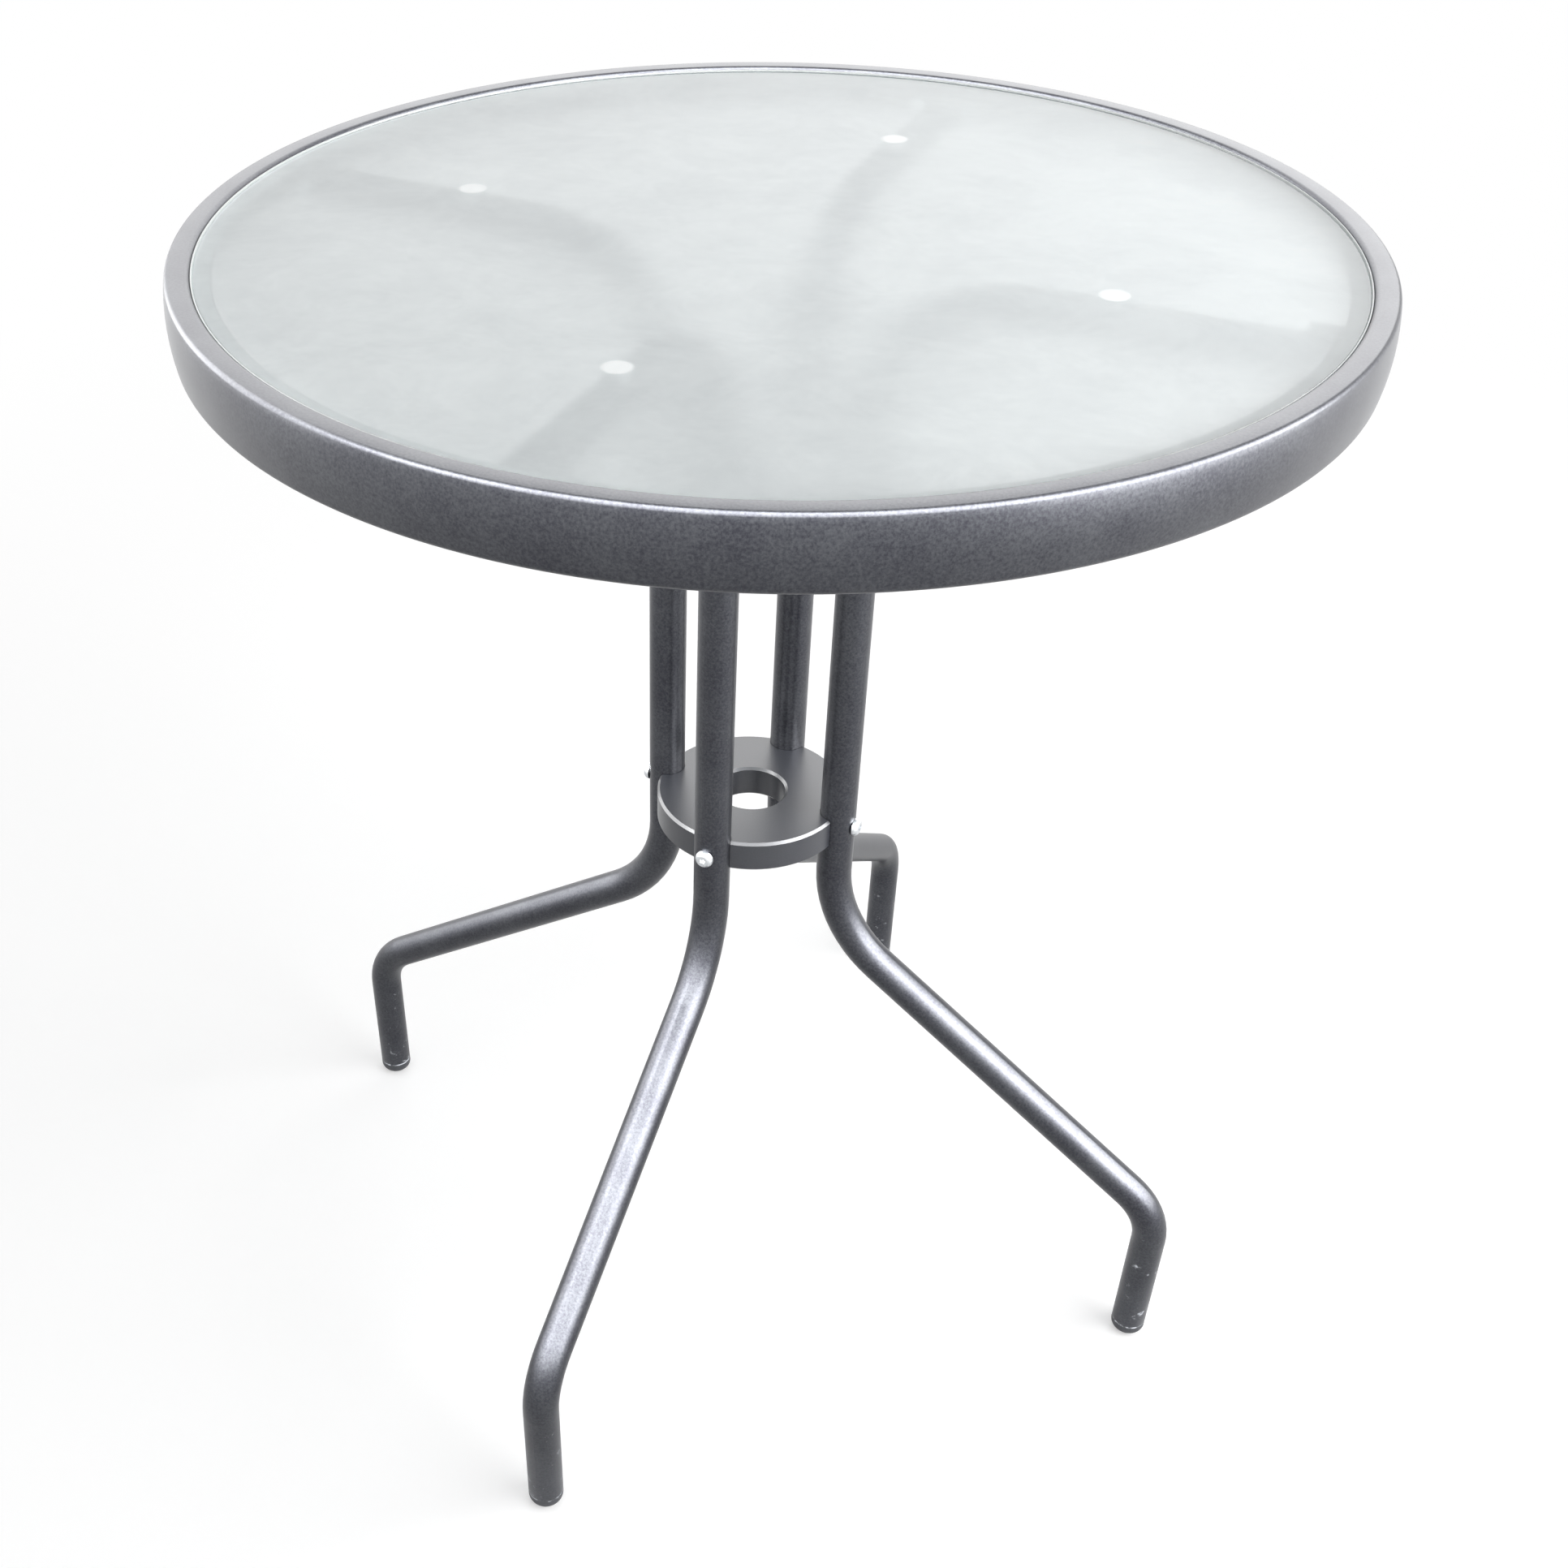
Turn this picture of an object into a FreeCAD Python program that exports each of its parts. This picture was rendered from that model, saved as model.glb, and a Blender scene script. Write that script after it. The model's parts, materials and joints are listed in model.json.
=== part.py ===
import FreeCAD, Part
import math
import os
import Sketcher

# Round garden table: a glass top in a steel rim, carried by four bent tube legs that meet
# at a plastic spacer ring. The origin is on the floor under the middle of the top, +Z is up,
# and the legs stand on the axes: front on -Y, right on +X, back on +Y and left on -X.
# Every piece that repeats at the legs is drawn on +X and turned to its leg about Z.

SIZES = {
    # top rim, one strip of rolled sheet
    "table_diameter": 600,
    "table_height": 700,
    "rim_drop": 36,
    "rim_bulge": 2,
    "rim_lip": 12,
    "rim_sheet": 1.5,
    "rim_hem": 6,
    "rim_ledge": 10,
    "rim_edge_bend": 2,
    "rim_hem_bend": 3,
    "rim_lip_bend": 2.5,
    # glass and the seal under its edge
    "glass_thickness": 5,
    "glass_recess": 2,
    "glass_edge_gap": 1,
    "glass_bevel": 0.8,
    "seal_thickness": 1,
    "seal_width": 7,
    "seal_inset": 1,
    # leg tubes
    "tube_diameter": 22,
    "tube_wall": 1.5,
    "foot_radius": 294,
    "column_radius": 57.5,
    "knee_height": 113,
    "hip_height": 275,
    "knee_bend": 45,
    "hip_bend": 80,
    "shoulder_bend": 80,
    "arm_gap": 0.5,
    "arm_end_gap": 12.5,
    # foot caps
    "cap_height": 9,
    "cap_round": 6,
    "cap_stem": 16,
    "cap_stem_gap": 0.1,
    # spacer ring
    "ring_diameter": 116,
    "ring_hole": 42,
    "ring_thickness": 20,
    "ring_height": 340,
    "ring_chamfer": 1.5,
    "ring_notch_gap": 0.2,
    # screws from the columns into the spacer ring
    "screw_rise": 2.5,
    "screw_diameter": 5,
    "screw_length": 35,
    "screw_head": 11,
    "screw_head_height": 3.6,
    "screw_head_round": 2.8,
    "screw_socket": 3,
    "screw_socket_depth": 1.8,
    "screw_hole_gap": 0.25,
    "insert_diameter": 7.5,
    "insert_length": 13,
    "insert_thread_gap": 0.1,
    "insert_wall_gap": 0.1,
    # glass bumpers on the arms
    "bumper_position": 174,
    "bumper_diameter": 13,
    "bumper_round": 1,
    "bumper_skirt": 3,
    "bumper_stem": 6,
    "bumper_stem_length": 5,
    "bumper_hole_gap": 0.1,
    # tabs inside the rim and the bolts through the arms
    "tab_thickness": 3,
    "tab_depth": 18,
    "tab_reach": 12,
    "tab_gap": 0.2,
    "bolt_diameter": 6,
    "bolt_end_distance": 12,
    "bolt_head": 10.5,
    "bolt_head_height": 3.3,
    "bolt_head_round": 2.5,
    "bolt_tip": 1.5,
    "bolt_hole_gap": 0.25,
    "washer_diameter": 12,
    "washer_thickness": 1.6,
    "washer_bore_gap": 0.2,
    "nut_width": 10,
    "nut_height": 6,
    "nut_thread_gap": 0.1,
}

LEG_TURNS = {"front": -90, "right": 0, "back": 90, "left": 180}

CLOSE_MM = 1e-4
LEAST_CUT_MM3 = 1e-3
UPWARD = FreeCAD.Vector(0, 0, 1)

# Places that several pieces share, as expressions on the sheet.
RIM_RADIUS = "(sizes.table_diameter / 2)"
SKIRT_BORE = f"({RIM_RADIUS} - sizes.rim_sheet)"
SKIRT_FOOT = "(sizes.table_height - sizes.rim_drop)"
SKIRT_TOP_INSIDE = "(sizes.table_height - sizes.rim_sheet)"
HEM_TOP = f"({SKIRT_FOOT} + sizes.rim_sheet)"
STEP_RADIUS = f"({RIM_RADIUS} - sizes.rim_lip)"
GLASS_RADIUS = f"({STEP_RADIUS} - sizes.glass_edge_gap)"
GLASS_TOP = "(sizes.table_height - sizes.glass_recess)"
GLASS_UNDERSIDE = f"({GLASS_TOP} - sizes.glass_thickness)"
LEDGE_TOP = f"({GLASS_UNDERSIDE} - sizes.seal_thickness)"
LEDGE_UNDERSIDE = f"({LEDGE_TOP} - sizes.rim_sheet)"
TUBE_RADIUS = "(sizes.tube_diameter / 2)"
TUBE_BORE = "(sizes.tube_diameter - 2 * sizes.tube_wall)"
ARM_HEIGHT = f"({LEDGE_UNDERSIDE} - sizes.arm_gap - {TUBE_RADIUS})"
ARM_CROWN = f"({ARM_HEIGHT} + {TUBE_RADIUS})"
ARM_END = f"({SKIRT_BORE} - sizes.arm_end_gap)"
BOLT_PLACE = f"({ARM_END} - sizes.bolt_end_distance)"
TAB_FACE = f"({TUBE_RADIUS} + sizes.tab_gap)"
TAB_BACK = f"({TAB_FACE} + sizes.tab_thickness)"
WASHER_BACK = f"({TAB_BACK} + sizes.washer_thickness)"
NUT_BACK = f"({WASHER_BACK} + sizes.nut_height)"
COLUMN_FACE = f"(sizes.column_radius + {TUBE_RADIUS})"
SCREW_LEVEL = "(sizes.ring_height + sizes.ring_thickness / 2 + sizes.screw_rise)"
NOTCH_RADIUS = f"({TUBE_RADIUS} + sizes.ring_notch_gap)"
NOTCH_FLOOR = f"(sizes.column_radius - {NOTCH_RADIUS})"
INSERT_TIP = f"({NOTCH_FLOOR} - sizes.insert_length)"

doc = FreeCAD.newDocument("garden_table")
sheet = doc.addObject("Spreadsheet::Sheet", "sizes")
for row, (name, size) in enumerate(SIZES.items(), start=1):
    sheet.set(f"A{row}", name)
    sheet.set(f"B{row}", str(size))
    sheet.setAlias(f"B{row}", name)
doc.recompute()


# Helpers


def number(size):
    """The value of an expression on the sheet."""
    return float(sheet.evalExpression(size))


def close(first, second):
    return abs(first - second) < CLOSE_MM


def new_body(label, turn=0):
    """A body for one piece, turned about Z to its leg."""
    body = doc.addObject("PartDesign::Body", label)
    body.Label = label
    body.Placement = FreeCAD.Placement(FreeCAD.Vector(), FreeCAD.Rotation(UPWARD, turn))
    return body


def new_sketch(body, name, role, lift=None):
    """A sketch on one of the body's own planes, or lifted off it."""
    sketch = body.newObject("Sketcher::SketchObject", name)
    plane = next(item for item in body.Origin.OriginFeatures if item.Role == role)
    sketch.AttachmentSupport = [(plane, "")]
    sketch.MapMode = "FlatFace"
    if lift:
        sketch.setExpression("AttachmentOffset.Base.z", lift)
    return sketch


def bind(sketch, constraint, size):
    """Adds a constraint whose value follows the sheet."""
    index = sketch.addConstraint(constraint)
    sketch.setExpression(f"Constraints[{index}]", size)


def pin(sketch, edge, end, across, up):
    """Ties a point to its two distances from the sketch's origin."""
    bind(sketch, Sketcher.Constraint("DistanceX", -1, 1, edge, end, number(across)), across)
    bind(sketch, Sketcher.Constraint("DistanceY", -1, 1, edge, end, number(up)), up)


def bulge_radius(height):
    """Radius of the arc that stands out by the rim's bulge over a height."""
    return f"(({height}) ^ 2 / 4 + sizes.rim_bulge ^ 2) / (2 * sizes.rim_bulge)"


def draw_upright_arc(sketch, start, end, radius):
    """An arc between two points above each other, hollow towards the upright axis."""
    half = abs(end.y - start.y) / 2
    reach = number(radius)
    middle = FreeCAD.Vector(start.x - math.sqrt(reach ** 2 - half ** 2), (start.y + end.y) / 2, 0)
    swing = math.asin(half / reach)
    edge = sketch.addGeometry(Part.ArcOfCircle(Part.Circle(middle, UPWARD, reach), -swing, swing), False)
    bind(sketch, Sketcher.Constraint("Radius", edge, reach), radius)
    return (edge, 1, 2) if start.y < end.y else (edge, 2, 1)


def draw_polygon(sketch, corners, bulges=None):
    """A closed outline through corners given as pairs of expressions; where bulges gives a
    radius for the edge after a corner, that edge is an upright arc."""
    points = [FreeCAD.Vector(number(across), number(up), 0) for across, up in corners]
    edges = []
    for place, start in enumerate(points):
        end = points[(place + 1) % len(points)]
        if bulges and place in bulges:
            edges.append(draw_upright_arc(sketch, start, end, bulges[place]))
        else:
            edges.append((sketch.addGeometry(Part.LineSegment(start, end), False), 1, 2))
    for place, (edge, entry, leave) in enumerate(edges):
        follower, meeting, _ = edges[(place + 1) % len(edges)]
        sketch.addConstraint(Sketcher.Constraint("Coincident", edge, leave, follower, meeting))
        pin(sketch, edge, entry, *corners[place])


def draw_circle(sketch, diameter, across=None, up=None):
    """A circle; a centre that is left out lies on the sketch's axis."""
    middle = FreeCAD.Vector(number(across) if across else 0, number(up) if up else 0, 0)
    edge = sketch.addGeometry(Part.Circle(middle, UPWARD, number(diameter) / 2), False)
    bind(sketch, Sketcher.Constraint("Diameter", edge, number(diameter)), diameter)
    for size, kind, axis in ((across, "DistanceX", -2), (up, "DistanceY", -1)):
        if size:
            bind(sketch, Sketcher.Constraint(kind, -1, 1, edge, 3, number(size)), size)
        else:
            sketch.addConstraint(Sketcher.Constraint("PointOnObject", edge, 3, axis))


def draw_hexagon(sketch, width, across, up):
    """A hexagon by its width across the flats, with two corners level with its middle."""
    reach = f"{width} / sqrt(3)"
    corners = []
    for angle in range(0, 360, 60):
        corners.append((f"{across} + {reach} * cos({angle} deg)", f"{up} + {reach} * sin({angle} deg)"))
    draw_polygon(sketch, corners)


def draw_bent_line(sketch, corners, bends):
    """Straight runs joined by tangent arcs; the runs, made longer, would meet at the corners."""
    points = [FreeCAD.Vector(number(across), number(up), 0) for across, up in corners]
    starts = [points[0]]
    ends = []
    arcs = []
    for place, bend in enumerate(bends, start=1):
        radius = number(bend)
        before = (points[place] - points[place - 1]).normalize()
        after = (points[place + 1] - points[place]).normalize()
        turn = math.atan2(before.cross(after).z, before.dot(after))
        setback = radius * math.tan(abs(turn) / 2)
        ends.append(points[place] - before * setback)
        starts.append(points[place] + after * setback)
        inward = FreeCAD.Vector(-before.y, before.x, 0) * math.copysign(1, turn)
        middle = ends[-1] + inward * radius
        angles = [math.atan2(point.y - middle.y, point.x - middle.x) for point in (ends[-1], starts[-1])]
        if turn < 0:
            angles.reverse()
        if angles[1] < angles[0]:
            angles[1] += 2 * math.pi
        circle = Part.Circle(middle, UPWARD, radius)
        arcs.append((Part.ArcOfCircle(circle, *angles), turn > 0, bend))
    ends.append(points[-1])
    runs = [sketch.addGeometry(Part.LineSegment(*pair), False) for pair in zip(starts, ends)]
    for place, (arc, leftward, bend) in enumerate(arcs):
        edge = sketch.addGeometry(arc, False)
        entry, leave = (1, 2) if leftward else (2, 1)
        sketch.addConstraint(Sketcher.Constraint("Tangent", runs[place], 2, edge, entry))
        sketch.addConstraint(Sketcher.Constraint("Tangent", edge, leave, runs[place + 1], 1))
        bind(sketch, Sketcher.Constraint("Radius", edge, number(bend)), bend)
        corner = sketch.addGeometry(Part.Point(points[place + 1]), True)
        sketch.addConstraint(Sketcher.Constraint("PointOnObject", corner, 1, runs[place]))
        sketch.addConstraint(Sketcher.Constraint("PointOnObject", corner, 1, runs[place + 1]))
        pin(sketch, corner, 1, *corners[place + 1])
    pin(sketch, runs[0], 1, *corners[0])
    pin(sketch, runs[-1], 2, *corners[-1])


def add_feature(body, kind, name, sketch):
    feature = body.newObject(f"PartDesign::{kind}", name)
    feature.Profile = sketch
    body.Tip = feature
    return feature


def pad(body, name, sketch, length, reverse=False):
    feature = add_feature(body, "Pad", name, sketch)
    feature.setExpression("Length", length)
    feature.Reversed = reverse
    return feature


def revolve(body, kind, name, sketch):
    """A full turn about the sketch's upright axis."""
    feature = add_feature(body, kind, name, sketch)
    feature.ReferenceAxis = (sketch, ["V_Axis"])
    feature.Angle = 360


def cut(body, name, sketch, length=None, both_ways=False, reverse=False):
    """A pocket to a depth, or through everything, that has to take material away."""
    doc.recompute()
    volume = body.Shape.Volume
    feature = add_feature(body, "Pocket", name, sketch)
    feature.Reversed = reverse
    if both_ways:
        feature.SideType = "Symmetric"
    if length:
        feature.setExpression("Length", length)
    else:
        feature.Type = "ThroughAll"
    doc.recompute()
    if body.Shape.Volume > volume - LEAST_CUT_MM3:
        raise RuntimeError(f"{body.Label}: {name} takes nothing away")
    return feature


def repeat_about_z(body, name, feature):
    """Copies a cut to all four legs."""
    pattern = body.newObject("PartDesign::PolarPattern", name)
    pattern.Originals = [feature]
    pattern.Axis = (next(item for item in body.Origin.OriginFeatures if item.Role == "Z_Axis"), [""])
    pattern.Angle = 360
    pattern.Occurrences = len(LEG_TURNS)
    body.Tip = pattern


def circle_edges(shape, circles):
    """Names of the round edges of given radii and heights."""
    names = []
    for place, edge in enumerate(shape.Edges, start=1):
        if not isinstance(edge.Curve, Part.Circle):
            continue
        for radius, height in circles:
            if close(edge.Curve.Radius, number(radius)) and close(edge.Curve.Center.z, number(height)):
                names.append(f"Edge{place}")
    return names


def facing_edges(shape, side, place):
    """Names of the round edges that lie in the plane where a coordinate has one value."""
    names = []
    for index, edge in enumerate(shape.Edges, start=1):
        if isinstance(edge.Curve, Part.Circle) and close(getattr(edge.Curve.Center, side), number(place)):
            if close(abs(getattr(edge.Curve.Axis, side)), 1):
                names.append(f"Edge{index}")
    return names


def dress_edges(body, kind, name, edges, prop, size):
    """A fillet or chamfer on named edges of the body as it stands."""
    if not edges:
        raise RuntimeError(f"{body.Label}: {name} finds no edge")
    base = body.Tip
    feature = body.newObject(f"PartDesign::{kind}", name)
    feature.Base = (base, edges)
    feature.setExpression(prop, size)
    body.Tip = feature


def round_circles(body, name, circles, size):
    doc.recompute()
    dress_edges(body, "Fillet", name, circle_edges(body.Tip.Shape, circles), "Radius", size)


def chamfer_circles(body, name, circles, size):
    doc.recompute()
    dress_edges(body, "Chamfer", name, circle_edges(body.Tip.Shape, circles), "Size", size)


# Top

BORE_BULGE = bulge_radius(f"{SKIRT_TOP_INSIDE} - {HEM_TOP}")


def make_top_rim():
    """Rolled strip: hem, skirt, lip, step down beside the glass and the ledge under it."""
    body = new_body("top_rim")
    sketch = new_sketch(body, "rim_section", "XZ_Plane")
    hem_edge = f"({RIM_RADIUS} - sizes.rim_hem)"
    step_back = f"({STEP_RADIUS} + sizes.rim_sheet)"
    ledge_edge = f"({STEP_RADIUS} - sizes.rim_ledge)"
    corners = [
        (hem_edge, SKIRT_FOOT),
        (RIM_RADIUS, SKIRT_FOOT),
        (RIM_RADIUS, "sizes.table_height"),
        (STEP_RADIUS, "sizes.table_height"),
        (STEP_RADIUS, LEDGE_TOP),
        (ledge_edge, LEDGE_TOP),
        (ledge_edge, LEDGE_UNDERSIDE),
        (step_back, LEDGE_UNDERSIDE),
        (step_back, SKIRT_TOP_INSIDE),
        (SKIRT_BORE, SKIRT_TOP_INSIDE),
        (SKIRT_BORE, HEM_TOP),
        (hem_edge, HEM_TOP),
    ]
    bulges = {
        corners.index((RIM_RADIUS, SKIRT_FOOT)): bulge_radius("sizes.rim_drop"),
        corners.index((SKIRT_BORE, SKIRT_TOP_INSIDE)): BORE_BULGE,
    }
    draw_polygon(sketch, corners, bulges)
    revolve(body, "Revolution", "rolled_strip", sketch)
    outer_inside = "sizes.rim_edge_bend - sizes.rim_sheet"
    hem_inside = "sizes.rim_hem_bend - sizes.rim_sheet"
    lip_inside = "sizes.rim_lip_bend - sizes.rim_sheet"
    round_circles(body, "outer_edge", [(RIM_RADIUS, "sizes.table_height")], "sizes.rim_edge_bend")
    round_circles(body, "hem_edge", [(RIM_RADIUS, SKIRT_FOOT)], "sizes.rim_hem_bend")
    round_circles(body, "outer_edge_inside", [(SKIRT_BORE, SKIRT_TOP_INSIDE)], outer_inside)
    round_circles(body, "hem_edge_inside", [(SKIRT_BORE, HEM_TOP)], hem_inside)
    round_circles(body, "lip_edge", [(STEP_RADIUS, "sizes.table_height")], "sizes.rim_lip_bend")
    round_circles(body, "lip_edge_inside", [(step_back, SKIRT_TOP_INSIDE)], lip_inside)
    return body


def make_glass():
    """Toughened sheet with both edges ground off."""
    body = new_body("glass_top")
    sketch = new_sketch(body, "glass_outline", "XY_Plane", GLASS_UNDERSIDE)
    draw_circle(sketch, f"2 * {GLASS_RADIUS}")
    pad(body, "glass_sheet", sketch, "sizes.glass_thickness")
    edges = [(GLASS_RADIUS, GLASS_UNDERSIDE), (GLASS_RADIUS, GLASS_TOP)]
    chamfer_circles(body, "ground_edges", edges, "sizes.glass_bevel")
    return body


def make_seal():
    """Flat strip between the ledge and the glass."""
    body = new_body("glass_seal")
    sketch = new_sketch(body, "seal_outline", "XY_Plane", LEDGE_TOP)
    outer = f"({GLASS_RADIUS} - sizes.seal_inset)"
    draw_circle(sketch, f"2 * {outer}")
    draw_circle(sketch, f"2 * ({outer} - sizes.seal_width)")
    pad(body, "seal_strip", sketch, "sizes.seal_thickness")
    return body


# Legs


def make_leg(side, turn):
    """One bent tube: foot, knee, slanted run, hip, column, shoulder and arm."""
    body = new_body(f"{side}_leg", turn)
    path = new_sketch(body, f"{side}_leg_path", "XZ_Plane")
    corners = [
        ("sizes.foot_radius", "sizes.cap_height"),
        ("sizes.foot_radius", "sizes.knee_height"),
        ("sizes.column_radius", "sizes.hip_height"),
        ("sizes.column_radius", ARM_HEIGHT),
        (ARM_END, ARM_HEIGHT),
    ]
    draw_bent_line(path, corners, ["sizes.knee_bend", "sizes.hip_bend", "sizes.shoulder_bend"])
    section = new_sketch(body, f"{side}_leg_section", "XY_Plane", "sizes.cap_height")
    draw_circle(section, "sizes.tube_diameter", across="sizes.foot_radius")
    draw_circle(section, TUBE_BORE, across="sizes.foot_radius")
    doc.recompute()
    tube = add_feature(body, "AdditivePipe", f"{side}_leg_tube", section)
    tube.Spine = (path, [f"Edge{place}" for place in range(1, len(path.Shape.Edges) + 1)])

    screw_hole = new_sketch(body, f"{side}_screw_hole", "YZ_Plane")
    draw_circle(screw_hole, "sizes.screw_diameter + 2 * sizes.screw_hole_gap", up=SCREW_LEVEL)
    cut(body, f"{side}_screw_hole_cut", screw_hole, both_ways=True)
    bolt_hole = new_sketch(body, f"{side}_bolt_hole", "XZ_Plane")
    draw_circle(bolt_hole, "sizes.bolt_diameter + 2 * sizes.bolt_hole_gap", BOLT_PLACE, ARM_HEIGHT)
    cut(body, f"{side}_bolt_hole_cut", bolt_hole, both_ways=True)
    bumper_hole = new_sketch(body, f"{side}_bumper_hole", "XY_Plane", ARM_HEIGHT)
    draw_circle(bumper_hole, "sizes.bumper_stem + 2 * sizes.bumper_hole_gap", across="sizes.bumper_position")
    cut(body, f"{side}_bumper_hole_cut", bumper_hole, reverse=True)
    return body


def make_foot_cap(side, turn):
    """Plastic plug: a rounded end under the tube and a stem inside it."""
    body = new_body(f"{side}_foot_cap", turn)
    end = new_sketch(body, f"{side}_cap_end", "XY_Plane")
    draw_circle(end, "sizes.tube_diameter", across="sizes.foot_radius")
    pad(body, f"{side}_cap_end_pad", end, "sizes.cap_height")
    round_circles(body, f"{side}_cap_round", [(TUBE_RADIUS, "0")], "sizes.cap_round")
    stem = new_sketch(body, f"{side}_cap_stem", "XY_Plane", "sizes.cap_height")
    draw_circle(stem, f"{TUBE_BORE} - 2 * sizes.cap_stem_gap", across="sizes.foot_radius")
    pad(body, f"{side}_cap_stem_pad", stem, "sizes.cap_stem")
    return body


def make_bumper(side, turn):
    """Soft button saddled on the arm, its stem in the arm's hole, its top under the glass."""
    body = new_body(f"{side}_glass_bumper", turn)
    foot = f"({ARM_CROWN} - sizes.bumper_skirt)"
    button = new_sketch(body, f"{side}_bumper_button", "XY_Plane", foot)
    draw_circle(button, "sizes.bumper_diameter", across="sizes.bumper_position")
    pad(body, f"{side}_bumper_pad", button, f"{GLASS_UNDERSIDE} - {foot}")
    top_edge = [("sizes.bumper_diameter / 2", GLASS_UNDERSIDE)]
    round_circles(body, f"{side}_bumper_round", top_edge, "sizes.bumper_round")
    saddle = new_sketch(body, f"{side}_bumper_saddle", "YZ_Plane")
    draw_circle(saddle, "sizes.tube_diameter", up=ARM_HEIGHT)
    cut(body, f"{side}_bumper_saddle_cut", saddle, both_ways=True)
    stem = new_sketch(body, f"{side}_bumper_stem", "XY_Plane", f"{ARM_CROWN} - sizes.bumper_stem_length")
    draw_circle(stem, "sizes.bumper_stem", across="sizes.bumper_position")
    root = f"sizes.bumper_stem_length + ({GLASS_UNDERSIDE} - {ARM_CROWN}) / 2"
    pad(body, f"{side}_bumper_stem_pad", stem, root)
    return body


# Spacer ring and its screws


def make_spacer_ring():
    """Plastic disc with a centre hole, a notch for each column and a hole for each insert."""
    body = new_body("spacer_ring")
    outline = new_sketch(body, "ring_outline", "XY_Plane", "sizes.ring_height")
    draw_circle(outline, "sizes.ring_diameter")
    draw_circle(outline, "sizes.ring_hole")
    pad(body, "ring_disc", outline, "sizes.ring_thickness")
    ring_top = "(sizes.ring_height + sizes.ring_thickness)"
    edges = []
    for radius in ("sizes.ring_diameter / 2", "sizes.ring_hole / 2"):
        edges += [(radius, "sizes.ring_height"), (radius, ring_top)]
    chamfer_circles(body, "ring_chamfers", edges, "sizes.ring_chamfer")
    notch = new_sketch(body, "ring_notch", "XY_Plane", "sizes.ring_height")
    draw_circle(notch, f"2 * {NOTCH_RADIUS}", across="sizes.column_radius")
    repeat_about_z(body, "ring_notches", cut(body, "ring_notch_cut", notch, both_ways=True))
    hole = new_sketch(body, "insert_hole", "YZ_Plane", INSERT_TIP)
    draw_circle(hole, "sizes.insert_diameter + 2 * sizes.insert_wall_gap", up=SCREW_LEVEL)
    repeat_about_z(body, "insert_holes", cut(body, "insert_hole_cut", hole, reverse=True))
    return body


def make_ring_screw(side, turn):
    """Dome-headed screw on the outside of a column, pointing at the ring's middle."""
    body = new_body(f"{side}_ring_screw", turn)
    shank = new_sketch(body, f"{side}_shank", "YZ_Plane", f"{COLUMN_FACE} - sizes.screw_length")
    draw_circle(shank, "sizes.screw_diameter", up=SCREW_LEVEL)
    pad(body, f"{side}_shank_pad", shank, "sizes.screw_length")
    head = new_sketch(body, f"{side}_head", "YZ_Plane", COLUMN_FACE)
    draw_circle(head, "sizes.screw_head", up=SCREW_LEVEL)
    pad(body, f"{side}_head_pad", head, "sizes.screw_head_height")
    doc.recompute()
    crown = f"({COLUMN_FACE} + sizes.screw_head_height)"
    edges = facing_edges(body.Tip.Shape, "x", crown)
    dress_edges(body, "Fillet", f"{side}_dome", edges, "Radius", "sizes.screw_head_round")
    socket = new_sketch(body, f"{side}_socket", "YZ_Plane", crown)
    draw_hexagon(socket, "sizes.screw_socket", "0", SCREW_LEVEL)
    cut(body, f"{side}_socket_cut", socket, "sizes.screw_socket_depth")
    return body


def make_insert(side, turn):
    """Threaded brass sleeve pressed into the ring, flush with the notch."""
    body = new_body(f"{side}_insert", turn)
    sleeve = new_sketch(body, f"{side}_sleeve", "YZ_Plane", INSERT_TIP)
    draw_circle(sleeve, "sizes.insert_diameter", up=SCREW_LEVEL)
    draw_circle(sleeve, "sizes.screw_diameter + 2 * sizes.insert_thread_gap", up=SCREW_LEVEL)
    pad(body, f"{side}_sleeve_pad", sleeve, "sizes.insert_length")
    return body


# Tabs and bolts at the rim


def make_rim_tab(side, turn):
    """Plate welded to the skirt and to the ledge, flat beside the arm."""
    body = new_body(f"{side}_rim_tab", turn)
    plate = new_sketch(body, f"{side}_tab_plate", "XZ_Plane", f"-{TAB_FACE}")
    inner = f"({BOLT_PLACE} - sizes.tab_reach)"
    outer = f"({RIM_RADIUS} + sizes.rim_bulge)"
    bottom = f"({LEDGE_UNDERSIDE} - sizes.tab_depth)"
    corners = [(inner, bottom), (outer, bottom), (outer, LEDGE_UNDERSIDE), (inner, LEDGE_UNDERSIDE)]
    draw_polygon(plate, corners)
    draw_circle(plate, "sizes.bolt_diameter + 2 * sizes.bolt_hole_gap", BOLT_PLACE, ARM_HEIGHT)
    pad(body, f"{side}_tab_pad", plate, "sizes.tab_thickness", reverse=True)
    trim = new_sketch(body, f"{side}_tab_trim", "XZ_Plane")
    beyond = f"({outer} + sizes.rim_sheet)"
    bore_side = [(SKIRT_BORE, HEM_TOP), (SKIRT_BORE, SKIRT_TOP_INSIDE)]
    far_side = [(beyond, SKIRT_TOP_INSIDE), (beyond, HEM_TOP)]
    draw_polygon(trim, bore_side + far_side, {0: BORE_BULGE})
    revolve(body, "Groove", f"{side}_tab_trim_cut", trim)
    return body


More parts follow.
